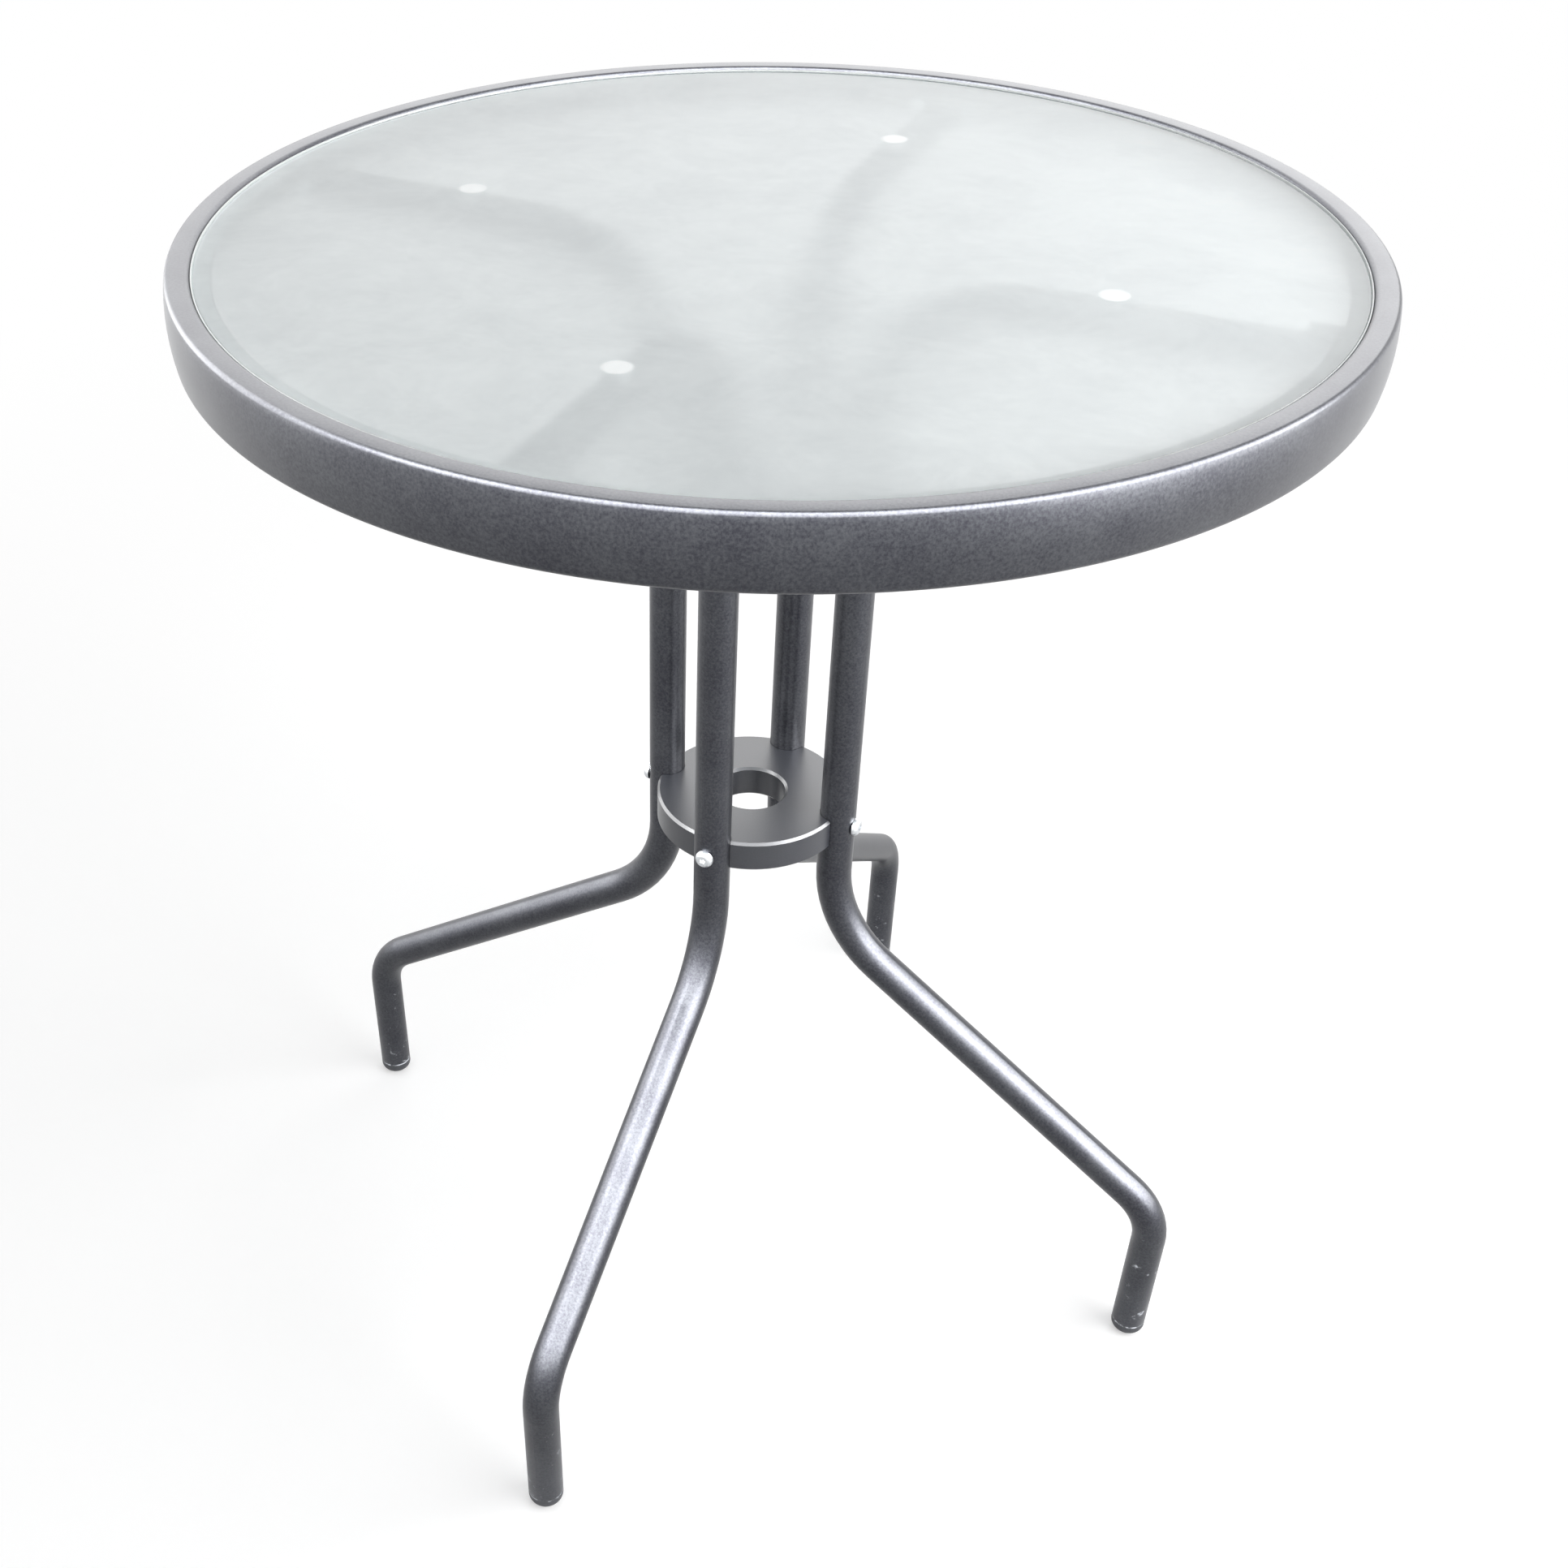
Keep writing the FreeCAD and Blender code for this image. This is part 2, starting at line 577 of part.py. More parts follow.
def make_rim_bolt(side, turn):
    """Dome-headed bolt through the arm and the tab."""
    body = new_body(f"{side}_rim_bolt", turn)
    shank = new_sketch(body, f"{side}_bolt_shank", "XZ_Plane", TUBE_RADIUS)
    draw_circle(shank, "sizes.bolt_diameter", BOLT_PLACE, ARM_HEIGHT)
    length = f"{TUBE_RADIUS} + {NUT_BACK} + sizes.bolt_tip"
    pad(body, f"{side}_bolt_shank_pad", shank, length, reverse=True)
    head = new_sketch(body, f"{side}_bolt_head", "XZ_Plane", TUBE_RADIUS)
    draw_circle(head, "sizes.bolt_head", BOLT_PLACE, ARM_HEIGHT)
    pad(body, f"{side}_bolt_head_pad", head, "sizes.bolt_head_height")
    doc.recompute()
    edges = facing_edges(body.Tip.Shape, "y", f"-({TUBE_RADIUS} + sizes.bolt_head_height)")
    dress_edges(body, "Fillet", f"{side}_bolt_dome", edges, "Radius", "sizes.bolt_head_round")
    return body


def make_washer(side, turn):
    body = new_body(f"{side}_washer", turn)
    ring = new_sketch(body, f"{side}_washer_ring", "XZ_Plane", f"-{TAB_BACK}")
    draw_circle(ring, "sizes.washer_diameter", BOLT_PLACE, ARM_HEIGHT)
    draw_circle(ring, "sizes.bolt_diameter + 2 * sizes.washer_bore_gap", BOLT_PLACE, ARM_HEIGHT)
    pad(body, f"{side}_washer_pad", ring, "sizes.washer_thickness", reverse=True)
    return body


def make_nut(side, turn):
    body = new_body(f"{side}_nut", turn)
    hexagon = new_sketch(body, f"{side}_nut_outline", "XZ_Plane", f"-{WASHER_BACK}")
    draw_hexagon(hexagon, "sizes.nut_width", BOLT_PLACE, ARM_HEIGHT)
    draw_circle(hexagon, "sizes.bolt_diameter + 2 * sizes.nut_thread_gap", BOLT_PLACE, ARM_HEIGHT)
    pad(body, f"{side}_nut_pad", hexagon, "sizes.nut_height", reverse=True)
    return body


def make_group(label, maker):
    """Four like fasteners, one at each leg, kept as separate solids of one node."""
    group = doc.addObject("Part::Compound", label)
    group.Label = label
    group.Links = [maker(side, turn) for side, turn in LEG_TURNS.items()]
    return group


def main():
    nodes = [make_top_rim(), make_glass(), make_seal(), make_spacer_ring()]
    for side, turn in LEG_TURNS.items():
        for maker in (make_leg, make_foot_cap, make_bumper, make_rim_tab):
            nodes.append(maker(side, turn))
    nodes.append(make_group("ring_screws", make_ring_screw))
    nodes.append(make_group("ring_inserts", make_insert))
    nodes.append(make_group("rim_bolts", make_rim_bolt))
    nodes.append(make_group("rim_washers", make_washer))
    nodes.append(make_group("rim_nuts", make_nut))
    doc.recompute()

    for item in doc.Objects:
        if "Invalid" in item.State or "Error" in item.State:
            raise RuntimeError(f"{item.Label} has failed: {item.State}")
    for node in nodes:
        if node.Shape.isNull() or not node.Shape.isValid():
            raise RuntimeError(f"{node.Label} has no valid shape")

    os.makedirs("parts", exist_ok=True)
    for node in nodes:
        node.Shape.exportStep(f"parts/{node.Label}.step")
        box = node.Shape.optimalBoundingBox(False, False)
        print(f"{node.Label}: {len(node.Shape.Solids)} solid, {node.Shape.Volume / 1000:.2f} cm3,",
              f"{box.XLength:.1f} x {box.YLength:.1f} x {box.ZLength:.1f} mm, from z {box.ZMin:.1f}")


main()
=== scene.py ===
# %% [markdown]
# A round glass table for a garden or balcony
#
# The construction comes in as a frame that stays where it is: a steel rim, a sheet of glass,
# four bent tube legs and a plastic spacer ring. All of it could be modelled again here, but the
# sizes are settled there. So this file gives each piece its real finish and models only the few
# pieces whose looks need more than the construction holds, such as the rolled rim.

# %% Load the frame
import json
import math

import bmesh
import bpy
from mathutils import Matrix, Vector


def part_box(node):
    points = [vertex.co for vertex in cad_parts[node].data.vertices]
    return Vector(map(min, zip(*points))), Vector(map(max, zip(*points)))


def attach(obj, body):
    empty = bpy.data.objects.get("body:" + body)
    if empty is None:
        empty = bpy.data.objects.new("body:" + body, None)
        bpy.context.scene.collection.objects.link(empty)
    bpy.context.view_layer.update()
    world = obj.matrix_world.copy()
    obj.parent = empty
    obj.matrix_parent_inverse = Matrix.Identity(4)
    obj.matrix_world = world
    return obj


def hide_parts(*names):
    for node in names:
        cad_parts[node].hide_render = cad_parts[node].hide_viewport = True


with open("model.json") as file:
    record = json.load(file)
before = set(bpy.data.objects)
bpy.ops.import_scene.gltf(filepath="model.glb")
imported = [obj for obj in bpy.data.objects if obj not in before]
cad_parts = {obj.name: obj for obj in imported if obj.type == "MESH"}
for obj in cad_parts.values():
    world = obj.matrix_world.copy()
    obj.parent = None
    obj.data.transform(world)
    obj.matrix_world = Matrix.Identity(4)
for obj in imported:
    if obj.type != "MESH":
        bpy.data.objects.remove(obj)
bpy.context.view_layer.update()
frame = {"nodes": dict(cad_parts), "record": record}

# %% [markdown]
# Sizes that come from the frame
#
# The finishes and the new pieces must line up with the construction: with the ends of the
# tubes, the bumpers and both faces of the glass. These places could be typed in again, but they
# are read from the boxes of the frame's pieces, so they can't drift apart from it. Patterns and
# sections are written in millimetres, and the scene itself is in metres.

# %% Places of the frame's pieces
MM = 0.001
ACROSS, UP = 0, 2


def span(node, axis):
    """Where a piece of the construction starts and ends along an axis, in mm."""
    low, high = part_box(node)
    return round(low[axis] / MM, 1), round(high[axis] / MM, 1)


RIM_FOOT, RIM_TOP = span("top_rim", UP)
LEDGE_TOP = span("glass_seal", UP)[0]
GLASS_SEAT, GLASS_TOP = span("glass_top", UP)
GLASS_RADIUS = span("glass_top", ACROSS)[1]
TUBE_END = span("right_leg", UP)[0]
BUMPER_START, BUMPER_END = span("right_glass_bumper", ACROSS)
BUMPER_PLACE = (BUMPER_START + BUMPER_END) / 2
BUMPER_RADIUS = (BUMPER_END - BUMPER_START) / 2
print("rim from", RIM_FOOT, "to", RIM_TOP, "mm, its ledge at", LEDGE_TOP, "mm")
print("glass from", GLASS_SEAT, "to", GLASS_TOP, "mm, radius", GLASS_RADIUS)
print("tubes end at", TUBE_END, "mm, bumpers stand at", BUMPER_PLACE, "mm, radius", BUMPER_RADIUS)

# %% [markdown]
# The camera
#
# The portrait was taken from a little above the top, close enough for the far side of the rim
# to look smaller. A camera could be set by eye. This one's place, tilt and focal length were
# worked out from the ellipse of the rim and from the four columns and feet, so that every piece
# falls close to its place in the picture. The optical axis isn't in the middle of the picture,
# so the lens has a small shift.

# %% Camera
PHOTO_SIDE = 1932
SENSOR_WIDTH = 36.0
FOCAL_PIXELS = 2305.2
AXIS_PIXEL = Vector((789.9, 1160.0))
CAMERA_PLACE = Vector((0.3589, -0.8760, 1.0316))
CAMERA_AZIMUTH = math.radians(26.44)
CAMERA_TILT = math.radians(40.10)
CAMERA_ROLL = math.radians(-0.37)


def camera_turn(azimuth, tilt, roll):
    """The camera's rotation: it looks down by tilt, from azimuth round the object."""
    back = Vector((math.sin(azimuth) * math.cos(tilt), -math.cos(azimuth) * math.cos(tilt), math.sin(tilt)))
    right = (-back).cross(Vector((0, 0, 1))).normalized()
    up = back.cross(right)
    turned_right = right * math.cos(roll) + up * math.sin(roll)
    turned_up = up * math.cos(roll) - right * math.sin(roll)
    return Matrix((turned_right, turned_up, back)).transposed()


camera = bpy.data.objects.new("portrait_camera", bpy.data.cameras.new("portrait_camera"))
bpy.context.scene.collection.objects.link(camera)
bpy.context.scene.camera = camera
camera.location = CAMERA_PLACE
camera.rotation_euler = camera_turn(CAMERA_AZIMUTH, CAMERA_TILT, CAMERA_ROLL).to_euler()
camera.data.sensor_width = SENSOR_WIDTH
camera.data.lens = FOCAL_PIXELS * SENSOR_WIDTH / PHOTO_SIDE
camera.data.shift_x = (PHOTO_SIDE / 2 - AXIS_PIXEL.x) / PHOTO_SIDE
camera.data.shift_y = (AXIS_PIXEL.y - PHOTO_SIDE / 2) / PHOTO_SIDE
print("camera:", round(camera.data.lens, 2), "mm, shift", round(camera.data.shift_x, 3),
      round(camera.data.shift_y, 3))

# %% [markdown]
# Helpers for materials
#
# Colours are written as they look on a screen and turned to linear light by one function.
# Each node of a finish could be made, set and linked in lines of its own. One function does all
# three here, so that a finish reads as a list of its nodes. Patterns are drawn on the object's
# own coordinates, so they stay on the piece from every side.

# %% Colour and node helpers
def screen_colour(code):
    """Linear colour from a screen hex code."""
    channels = []
    for place in (0, 2, 4):
        value = int(code[place:place + 2], 16) / 255
        channels.append(value / 12.92 if value <= 0.04045 else ((value + 0.055) / 1.055) ** 2.4)
    return (*channels, 1.0)


def add_node(tree, kind, inputs=None, **settings):
    """Adds a node; an input given as a socket is linked and any other is set."""
    node = tree.nodes.new(kind)
    for name, value in settings.items():
        setattr(node, name, value)
    for name, value in (inputs or {}).items():
        if isinstance(value, bpy.types.NodeSocket):
            tree.links.new(value, node.inputs[name])
        else:
            node.inputs[name].default_value = value
    return node


def new_material(name):
    """An empty material with its output, and the object's own coordinates to draw patterns on."""
    material = bpy.data.materials.new(name)
    material.use_nodes = True
    tree = material.node_tree
    tree.nodes.clear()
    output = add_node(tree, "ShaderNodeOutputMaterial")
    place = add_node(tree, "ShaderNodeTexCoord").outputs["Object"]
    return material, tree, output, place


def per_mm(size):
    """Texture scale at which one cell of a pattern is that many millimetres."""
    return 1 / (size * MM)


print("half grey on a screen is", round(screen_colour("808080")[0], 3), "in linear light")

# %% [markdown]
# Metallic graphite powder coat
#
# The rim and the tubes are steel sprayed with a grey powder that holds fine metal flakes and
# is then baked. It looks like dark metal with a soft, wide shine: the flakes make a fine grain,
# and the baked film has faint waves, like the skin of an orange. A flat grey would look like
# plastic, so a metallic shader gives the flakes their tinted shine, and a smoother coat layer
# over it stands for the clear binder. The grain is really about 0.2 mm and is drawn at 1.4 mm,
# because finer grain would vanish in the picture. Clouds 26 mm across shift its tone, as uneven
# spraying does. Chairs and shoes knock the feet, so the coat is paler and rougher in small
# scuffs near the floor and chipped along the end of each tube, and some dust lies on the
# lowest 80 mm.

# %% Flakes and clouds of the coat
COAT_DARK = screen_colour("1e1f2a")
COAT_LIGHT = screen_colour("414348")
FLAKE_MM = 1.4
CLOUD_MM = 26


def coat_grain(tree, place):
    """The noise of the flakes, the noise of the clouds and the tone that they give."""
    flakes = add_node(tree, "ShaderNodeTexNoise", {
        "Vector": place, "Scale": per_mm(FLAKE_MM), "Detail": 3.0, "Roughness": 0.7}).outputs["Fac"]
    clouds = add_node(tree, "ShaderNodeTexNoise", {
        "Vector": place, "Scale": per_mm(CLOUD_MM), "Detail": 2.0}).outputs["Fac"]
    spread = add_node(tree, "ShaderNodeMapRange", {"Value": flakes, "From Min": 0.32, "From Max": 0.68})
    drift = add_node(tree, "ShaderNodeMapRange", {
        "Value": clouds, "From Min": 0.3, "From Max": 0.7, "To Min": -0.2, "To Max": 0.2})
    share = add_node(tree, "ShaderNodeMath", {0: spread.outputs[0], 1: drift.outputs[0]},
                     operation="ADD", use_clamp=True)
    tone = add_node(tree, "ShaderNodeMix", {"Factor": share.outputs[0], "A": COAT_DARK, "B": COAT_LIGHT},
                    data_type="RGBA")
    return flakes, clouds, tone.outputs["Result"]


print("flakes drawn at", FLAKE_MM, "mm, clouds at", CLOUD_MM, "mm")

# %% Wear of the coat near the floor
COAT_SCUFFED = screen_colour("a4a7ac")
COAT_DUSTY = screen_colour("76787e")
KNOCK_MM = 9
SCUFF_STARTS, SCUFF_FULL = 0.61, 0.69
CHIP_STARTS, CHIP_FULL = 0.44, 0.54
SCUFFS_END = 120
DUST_END = 80
DUST_SHARE = 0.35
CHIPS_FULL = TUBE_END + 0.7
CHIPS_END = TUBE_END + 1.5


def coat_wear(tree, place, clouds):
    """The shares of dust and of scuffed coat, which grow towards the floor."""
    knocks = add_node(tree, "ShaderNodeTexNoise", {
        "Vector": place, "Scale": per_mm(KNOCK_MM), "Detail": 5.0, "Roughness": 0.75}).outputs["Fac"]
    height = add_node(tree, "ShaderNodeSeparateXYZ", {0: place}).outputs["Z"]
    marks = add_node(tree, "ShaderNodeMapRange", {
        "Value": knocks, "From Min": SCUFF_STARTS, "From Max": SCUFF_FULL})
    low = add_node(tree, "ShaderNodeMapRange", {
        "Value": height, "From Min": SCUFFS_END * MM, "From Max": 0.5 * SCUFFS_END * MM})
    knocked = add_node(tree, "ShaderNodeMath", {0: marks.outputs[0], 1: low.outputs[0]}, operation="MULTIPLY")
    chips = add_node(tree, "ShaderNodeMapRange", {
        "Value": knocks, "From Min": CHIP_STARTS, "From Max": CHIP_FULL})
    end = add_node(tree, "ShaderNodeMapRange", {
        "Value": height, "From Min": CHIPS_END * MM, "From Max": CHIPS_FULL * MM})
    chipped = add_node(tree, "ShaderNodeMath", {0: chips.outputs[0], 1: end.outputs[0]}, operation="MULTIPLY")
    scuffs = add_node(tree, "ShaderNodeMath", {0: knocked.outputs[0], 1: chipped.outputs[0]},
                      operation="MAXIMUM")
    lowest = add_node(tree, "ShaderNodeMapRange", {
        "Value": height, "From Min": DUST_END * MM, "From Max": 0.0, "To Max": DUST_SHARE})
    dust = add_node(tree, "ShaderNodeMath", {0: lowest.outputs[0], 1: clouds}, operation="MULTIPLY")
    return dust.outputs[0], scuffs.outputs[0]


print("scuffs up to", SCUFFS_END, "mm, dust up to", DUST_END, "mm, chips up to", CHIPS_END, "mm")

# %% Powder coat
WAVE_MM = 1.6
WAVE_DEPTH_MM = 0.05


def make_powder_coat():
    """The whole coat: grain, dust and scuffs, with the waves of the baked film."""
    material, tree, output, place = new_material("graphite_powder_coat")
    flakes, clouds, tone = coat_grain(tree, place)
    dust, scuffs = coat_wear(tree, place, clouds)
    dusty = add_node(tree, "ShaderNodeMix", {"Factor": dust, "A": tone, "B": COAT_DUSTY}, data_type="RGBA")
    colour = add_node(tree, "ShaderNodeMix", {
        "Factor": scuffs, "A": dusty.outputs["Result"], "B": COAT_SCUFFED}, data_type="RGBA")
    shine = add_node(tree, "ShaderNodeMapRange", {"Value": flakes, "To Min": 0.34, "To Max": 0.45})
    worn = add_node(tree, "ShaderNodeMath", {0: shine.outputs[0], 1: scuffs}, operation="MAXIMUM")
    waves = add_node(tree, "ShaderNodeTexNoise", {"Vector": place, "Scale": per_mm(WAVE_MM), "Detail": 1.0})
    bump = add_node(tree, "ShaderNodeBump", {
        "Height": waves.outputs["Fac"], "Strength": 0.18, "Distance": WAVE_DEPTH_MM * MM})
    shader = add_node(tree, "ShaderNodeBsdfPrincipled", {
        "Base Color": colour.outputs["Result"], "Metallic": 0.8, "Roughness": worn.outputs[0],
        "Coat Weight": 0.6, "Coat Roughness": 0.32, "Normal": bump.outputs["Normal"]})
    tree.links.new(shader.outputs[0], output.inputs["Surface"])
    return material


MATERIALS = {"coated_steel": make_powder_coat()}
print("made", MATERIALS["coated_steel"].name, "with", len(MATERIALS["coated_steel"].node_tree.nodes), "nodes")

# %% [markdown]
# Toughened glass, rippled underneath
#
# The top of the sheet is polished. Its underside is rolled with a shallow ripple and looks
# milky: the arms under it show as soft shadows, and over each bumper that touches it a pale
# spot is painted into the haze. The two sides could be two materials on their own faces. Here one
# shader covers the whole sheet, because the ground edge then changes from one to the other by
# itself: clear and smooth above the middle height, and below it a rough, rippled refraction
# mixed with a matt haze. Wiping has left darker smears of a few centimetres in the haze. Over
# each bumper the haze is painted pure white and fully matt, a painted bright spot that stands
# for the bumper seen through the glass. Light that only passes through the sheet isn't bent.

# %% Haze of the rolled side, with painted bright spots over the bumpers
GLASS_HAZE = screen_colour("dee2e3")
GLASS_WIPED = screen_colour("c9ced0")
# Painted bright spot: pure white drawn into the haze over each bumper, standing for the bumper seen through
# the glass.
GLASS_PAINTED_SPOT = screen_colour("ffffff")
HAZE_SHARE = 0.8
SMEAR_MM = 60
SPOT_FULL = 0.95 * BUMPER_RADIUS
SPOT_END = 1.25 * BUMPER_RADIUS


def painted_spot_mask(tree, place):
    """Mask of the painted bright spot: one where a bumper touches the glass, fading to nothing round its
    edge.
    """
    folded = add_node(tree, "ShaderNodeVectorMath", {0: place}, operation="ABSOLUTE")
    axes = add_node(tree, "ShaderNodeSeparateXYZ", {0: folded.outputs["Vector"]})
    far = add_node(tree, "ShaderNodeMath", {0: axes.outputs["X"], 1: axes.outputs["Y"]}, operation="MAXIMUM")
    near = add_node(tree, "ShaderNodeMath", {0: axes.outputs["X"], 1: axes.outputs["Y"]}, operation="MINIMUM")
    past = add_node(tree, "ShaderNodeMath", {0: far.outputs[0], 1: BUMPER_PLACE * MM}, operation="SUBTRACT")
    offset = add_node(tree, "ShaderNodeCombineXYZ", {"X": past.outputs[0], "Y": near.outputs[0]})
    distance = add_node(tree, "ShaderNodeVectorMath", {0: offset.outputs[0]}, operation="LENGTH")
    return add_node(tree, "ShaderNodeMapRange", {
        "Value": distance.outputs["Value"], "From Min": SPOT_END * MM, "From Max": SPOT_FULL * MM}).outputs[0]


def rolled_haze(tree, place):
    """The matt haze and its share, with wiped smears and a painted bright spot over each bumper."""
    wiping = add_node(tree, "ShaderNodeTexNoise", {
        "Vector": place, "Scale": per_mm(SMEAR_MM), "Detail": 10.0, "Roughness": 0.82, "Distortion": 0.3})
    wiped = add_node(tree, "ShaderNodeMapRange", {
        "Value": wiping.outputs["Fac"], "From Min": 0.35, "From Max": 0.65})
    film = add_node(tree, "ShaderNodeMix", {"Factor": wiped.outputs[0], "A": GLASS_HAZE, "B": GLASS_WIPED},
                    data_type="RGBA")
    # Painted light: over each bumper the haze turns pure white and fully matt.
    painted_bright_spot = painted_spot_mask(tree, place)
    milk = add_node(tree, "ShaderNodeMix", {
        "Factor": painted_bright_spot, "A": film.outputs["Result"], "B": GLASS_PAINTED_SPOT}, data_type="RGBA")
    haze = add_node(tree, "ShaderNodeBsdfDiffuse", {"Color": milk.outputs["Result"]})
    cover = add_node(tree, "ShaderNodeMapRange", {"Value": painted_bright_spot, "To Min": HAZE_SHARE, "To Max": 1.0})
    return haze.outputs[0], cover.outputs[0]


print("smears drawn at", SMEAR_MM, "mm in a haze that covers", HAZE_SHARE, "of the rolled side")

# %% Rippled glass
GLASS_TINT = screen_colour("f0f3f3")
GLASS_IOR = 1.52
GLASS_MIDDLE = (GLASS_SEAT + GLASS_TOP) / 2
RIPPLE_MM = 7
RIPPLE_DEPTH_MM = 0.2


def make_rippled_glass():
    """Polished glass above the sheet's middle height and rolled, hazy glass below it."""
    material, tree, output, place = new_material("rippled_toughened_glass")
    polished = add_node(tree, "ShaderNodeBsdfPrincipled", {
        "Base Color": GLASS_TINT, "Roughness": 0.02, "IOR": GLASS_IOR, "Transmission Weight": 1.0})
    ripple = add_node(tree, "ShaderNodeTexNoise", {
        "Vector": place, "Scale": per_mm(RIPPLE_MM), "Detail": 2.0, "Distortion": 0.6})
    bump = add_node(tree, "ShaderNodeBump", {
        "Height": ripple.outputs["Fac"], "Strength": 0.2, "Distance": RIPPLE_DEPTH_MM * MM})
    rolled = add_node(tree, "ShaderNodeBsdfRefraction", {
        "Color": GLASS_TINT, "Roughness": 0.34, "IOR": GLASS_IOR, "Normal": bump.outputs["Normal"]})
    haze, cover = rolled_haze(tree, place)
    milky = add_node(tree, "ShaderNodeMixShader", {0: cover, 1: rolled.outputs[0], 2: haze})
    height = add_node(tree, "ShaderNodeSeparateXYZ", {0: place})
    below = add_node(tree, "ShaderNodeMath", {0: height.outputs["Z"], 1: GLASS_MIDDLE * MM},
                     operation="LESS_THAN")
    sheet = add_node(tree, "ShaderNodeMixShader", {
        0: below.outputs[0], 1: polished.outputs[0], 2: milky.outputs[0]})
    straight = add_node(tree, "ShaderNodeBsdfTransparent", {"Color": GLASS_TINT})
    passing = add_node(tree, "ShaderNodeLightPath").outputs["Is Shadow Ray"]
    whole = add_node(tree, "ShaderNodeMixShader", {0: passing, 1: sheet.outputs[0], 2: straight.outputs[0]})
    tree.links.new(whole.outputs[0], output.inputs["Surface"])
    return material


MATERIALS["rippled_glass"] = make_rippled_glass()
print("made", MATERIALS["rippled_glass"].name, "that changes at", GLASS_MIDDLE, "mm")

# %% [markdown]
# Moulded plastics, zinc and brass
#
# The spacer ring is glass-filled nylon in the colour of the coat, with the fine grain of a
# textured mould under a smoother skin, which is the shader's coat layer. The foot caps are
# softer polythene. The seal and the bumpers are soft vinyl, one clear and one milky. The screws
# are zinc plated, which is bright with a trace of blue, and the inserts are turned brass. Each
# could have its own function, but the plastics differ only in tone, grain and shine, and so do
# the two metals, so one function makes each family.

# %% Plastic from a textured mould
GRAIN_SHINE_SPREAD = 0.06


def make_moulded(name, dark, light, grain, roughness, relief, **more):
    """Moulded plastic: two close tones, a grain in mm and its relief in mm."""
    material, tree, output, place = new_material(name)
    speckle = add_node(tree, "ShaderNodeTexNoise", {
        "Vector": place, "Scale": per_mm(grain), "Detail": 3.0}).outputs["Fac"]
    tone = add_node(tree, "ShaderNodeMix", {
        "Factor": speckle, "A": screen_colour(dark), "B": screen_colour(light)}, data_type="RGBA")
    shine = add_node(tree, "ShaderNodeMapRange", {
        "Value": speckle, "To Min": roughness - GRAIN_SHINE_SPREAD, "To Max": roughness + GRAIN_SHINE_SPREAD})
    bump = add_node(tree, "ShaderNodeBump", {"Height": speckle, "Strength": 0.4, "Distance": relief * MM})
    shader = add_node(tree, "ShaderNodeBsdfPrincipled", {
        "Base Color": tone.outputs["Result"], "Roughness": shine.outputs[0],
        "Normal": bump.outputs["Normal"], **more})
    tree.links.new(shader.outputs[0], output.inputs["Surface"])
    return material


MATERIALS["ring_plastic"] = make_moulded("graphite_grey_nylon", "25272f", "363942", 0.9, 0.34, 0.08,
                                         **{"Coat Weight": 0.7, "Coat Roughness": 0.32})
MATERIALS["cap_plastic"] = make_moulded("grey_polythene", "424449", "4e5055", 1.1, 0.45, 0.06)
MATERIALS["seal_strip"] = make_moulded("clear_vinyl_seal", "d2d6d5", "e0e4e3", 0.8, 0.45, 0.04)
MATERIALS["bumper_rubber"] = make_moulded("milky_vinyl", "f0f2f2", "fafbfb", 1.2, 0.4, 0.03)
print("plastics for", ", ".join(slot for slot in MATERIALS if slot not in ("coated_steel", "rippled_glass")))

# %% Plated and turned metal
LINE_SHINE_SPREAD = 0.15


def make_turned(name, dark, light, roughness, lines):
    """Plated or turned metal: fine marks, lines being their spacing in mm."""
    material, tree, output, place = new_material(name)
    marks = add_node(tree, "ShaderNodeTexNoise", {
        "Vector": place, "Scale": per_mm(lines), "Detail": 4.0}).outputs["Fac"]
    tone = add_node(tree, "ShaderNodeMix", {
        "Factor": marks, "A": screen_colour(dark), "B": screen_colour(light)}, data_type="RGBA")
    shine = add_node(tree, "ShaderNodeMapRange", {
        "Value": marks, "To Min": roughness, "To Max": roughness + LINE_SHINE_SPREAD})
    shader = add_node(tree, "ShaderNodeBsdfPrincipled", {
        "Base Color": tone.outputs["Result"], "Metallic": 1.0, "Roughness": shine.outputs[0]})
    tree.links.new(shader.outputs[0], output.inputs["Surface"])
    return material


MATERIALS["zinc_plated"] = make_turned("bright_zinc_plate", "d4d8dc", "eef0f2", 0.22, 0.5)
MATERIALS["brass"] = make_turned("turned_brass", "a9853c", "cfa95a", 0.25, 0.4)
print("all materials:", ", ".join(material.name for material in MATERIALS.values()))

# %% [markdown]
# The finishes go on the frame
#
# The construction says of each piece what it is made of: coated steel, glass, nylon and so on.
# The finishes could be set piece by piece. Here a loop follows that list, so no piece is
# missed, and the pieces keep their shapes and places.

# %% Put the finishes on the frame
SLOT_OF = {part["node"]: part["material_slot"] for part in frame["record"]["subparts"]}
for node, piece in frame["nodes"].items():
    if not piece.material_slots:
        piece.data.materials.append(None)
    for slot in piece.material_slots:
        slot.material = MATERIALS[SLOT_OF[node]]
print("finishes on", len(SLOT_OF), "pieces")

# %% [markdown]
# Helpers for modelling
#
# Every new piece starts as a primitive with nothing else selected, is shaped in edit mode, and
# ends with its place in its mesh and its object at the origin. Edges could be picked by their
# numbers, but those change when a step before them does. Here loops are picked by their
# distance from the table's axis and their height, both in mm.

# %% Start, pick and bend
PICK_REACH = 0.02


def start_piece(add_primitive, name, **settings):
    """Adds a primitive with nothing else selected and opens it in edit mode."""
    bpy.ops.object.select_all(action="DESELECT")
    add_primitive(**settings)
    piece = bpy.context.object
    piece.name = name
    bpy.ops.object.transform_apply(location=True, rotation=True, scale=True)
    bpy.ops.object.mode_set(mode="EDIT")
    return piece


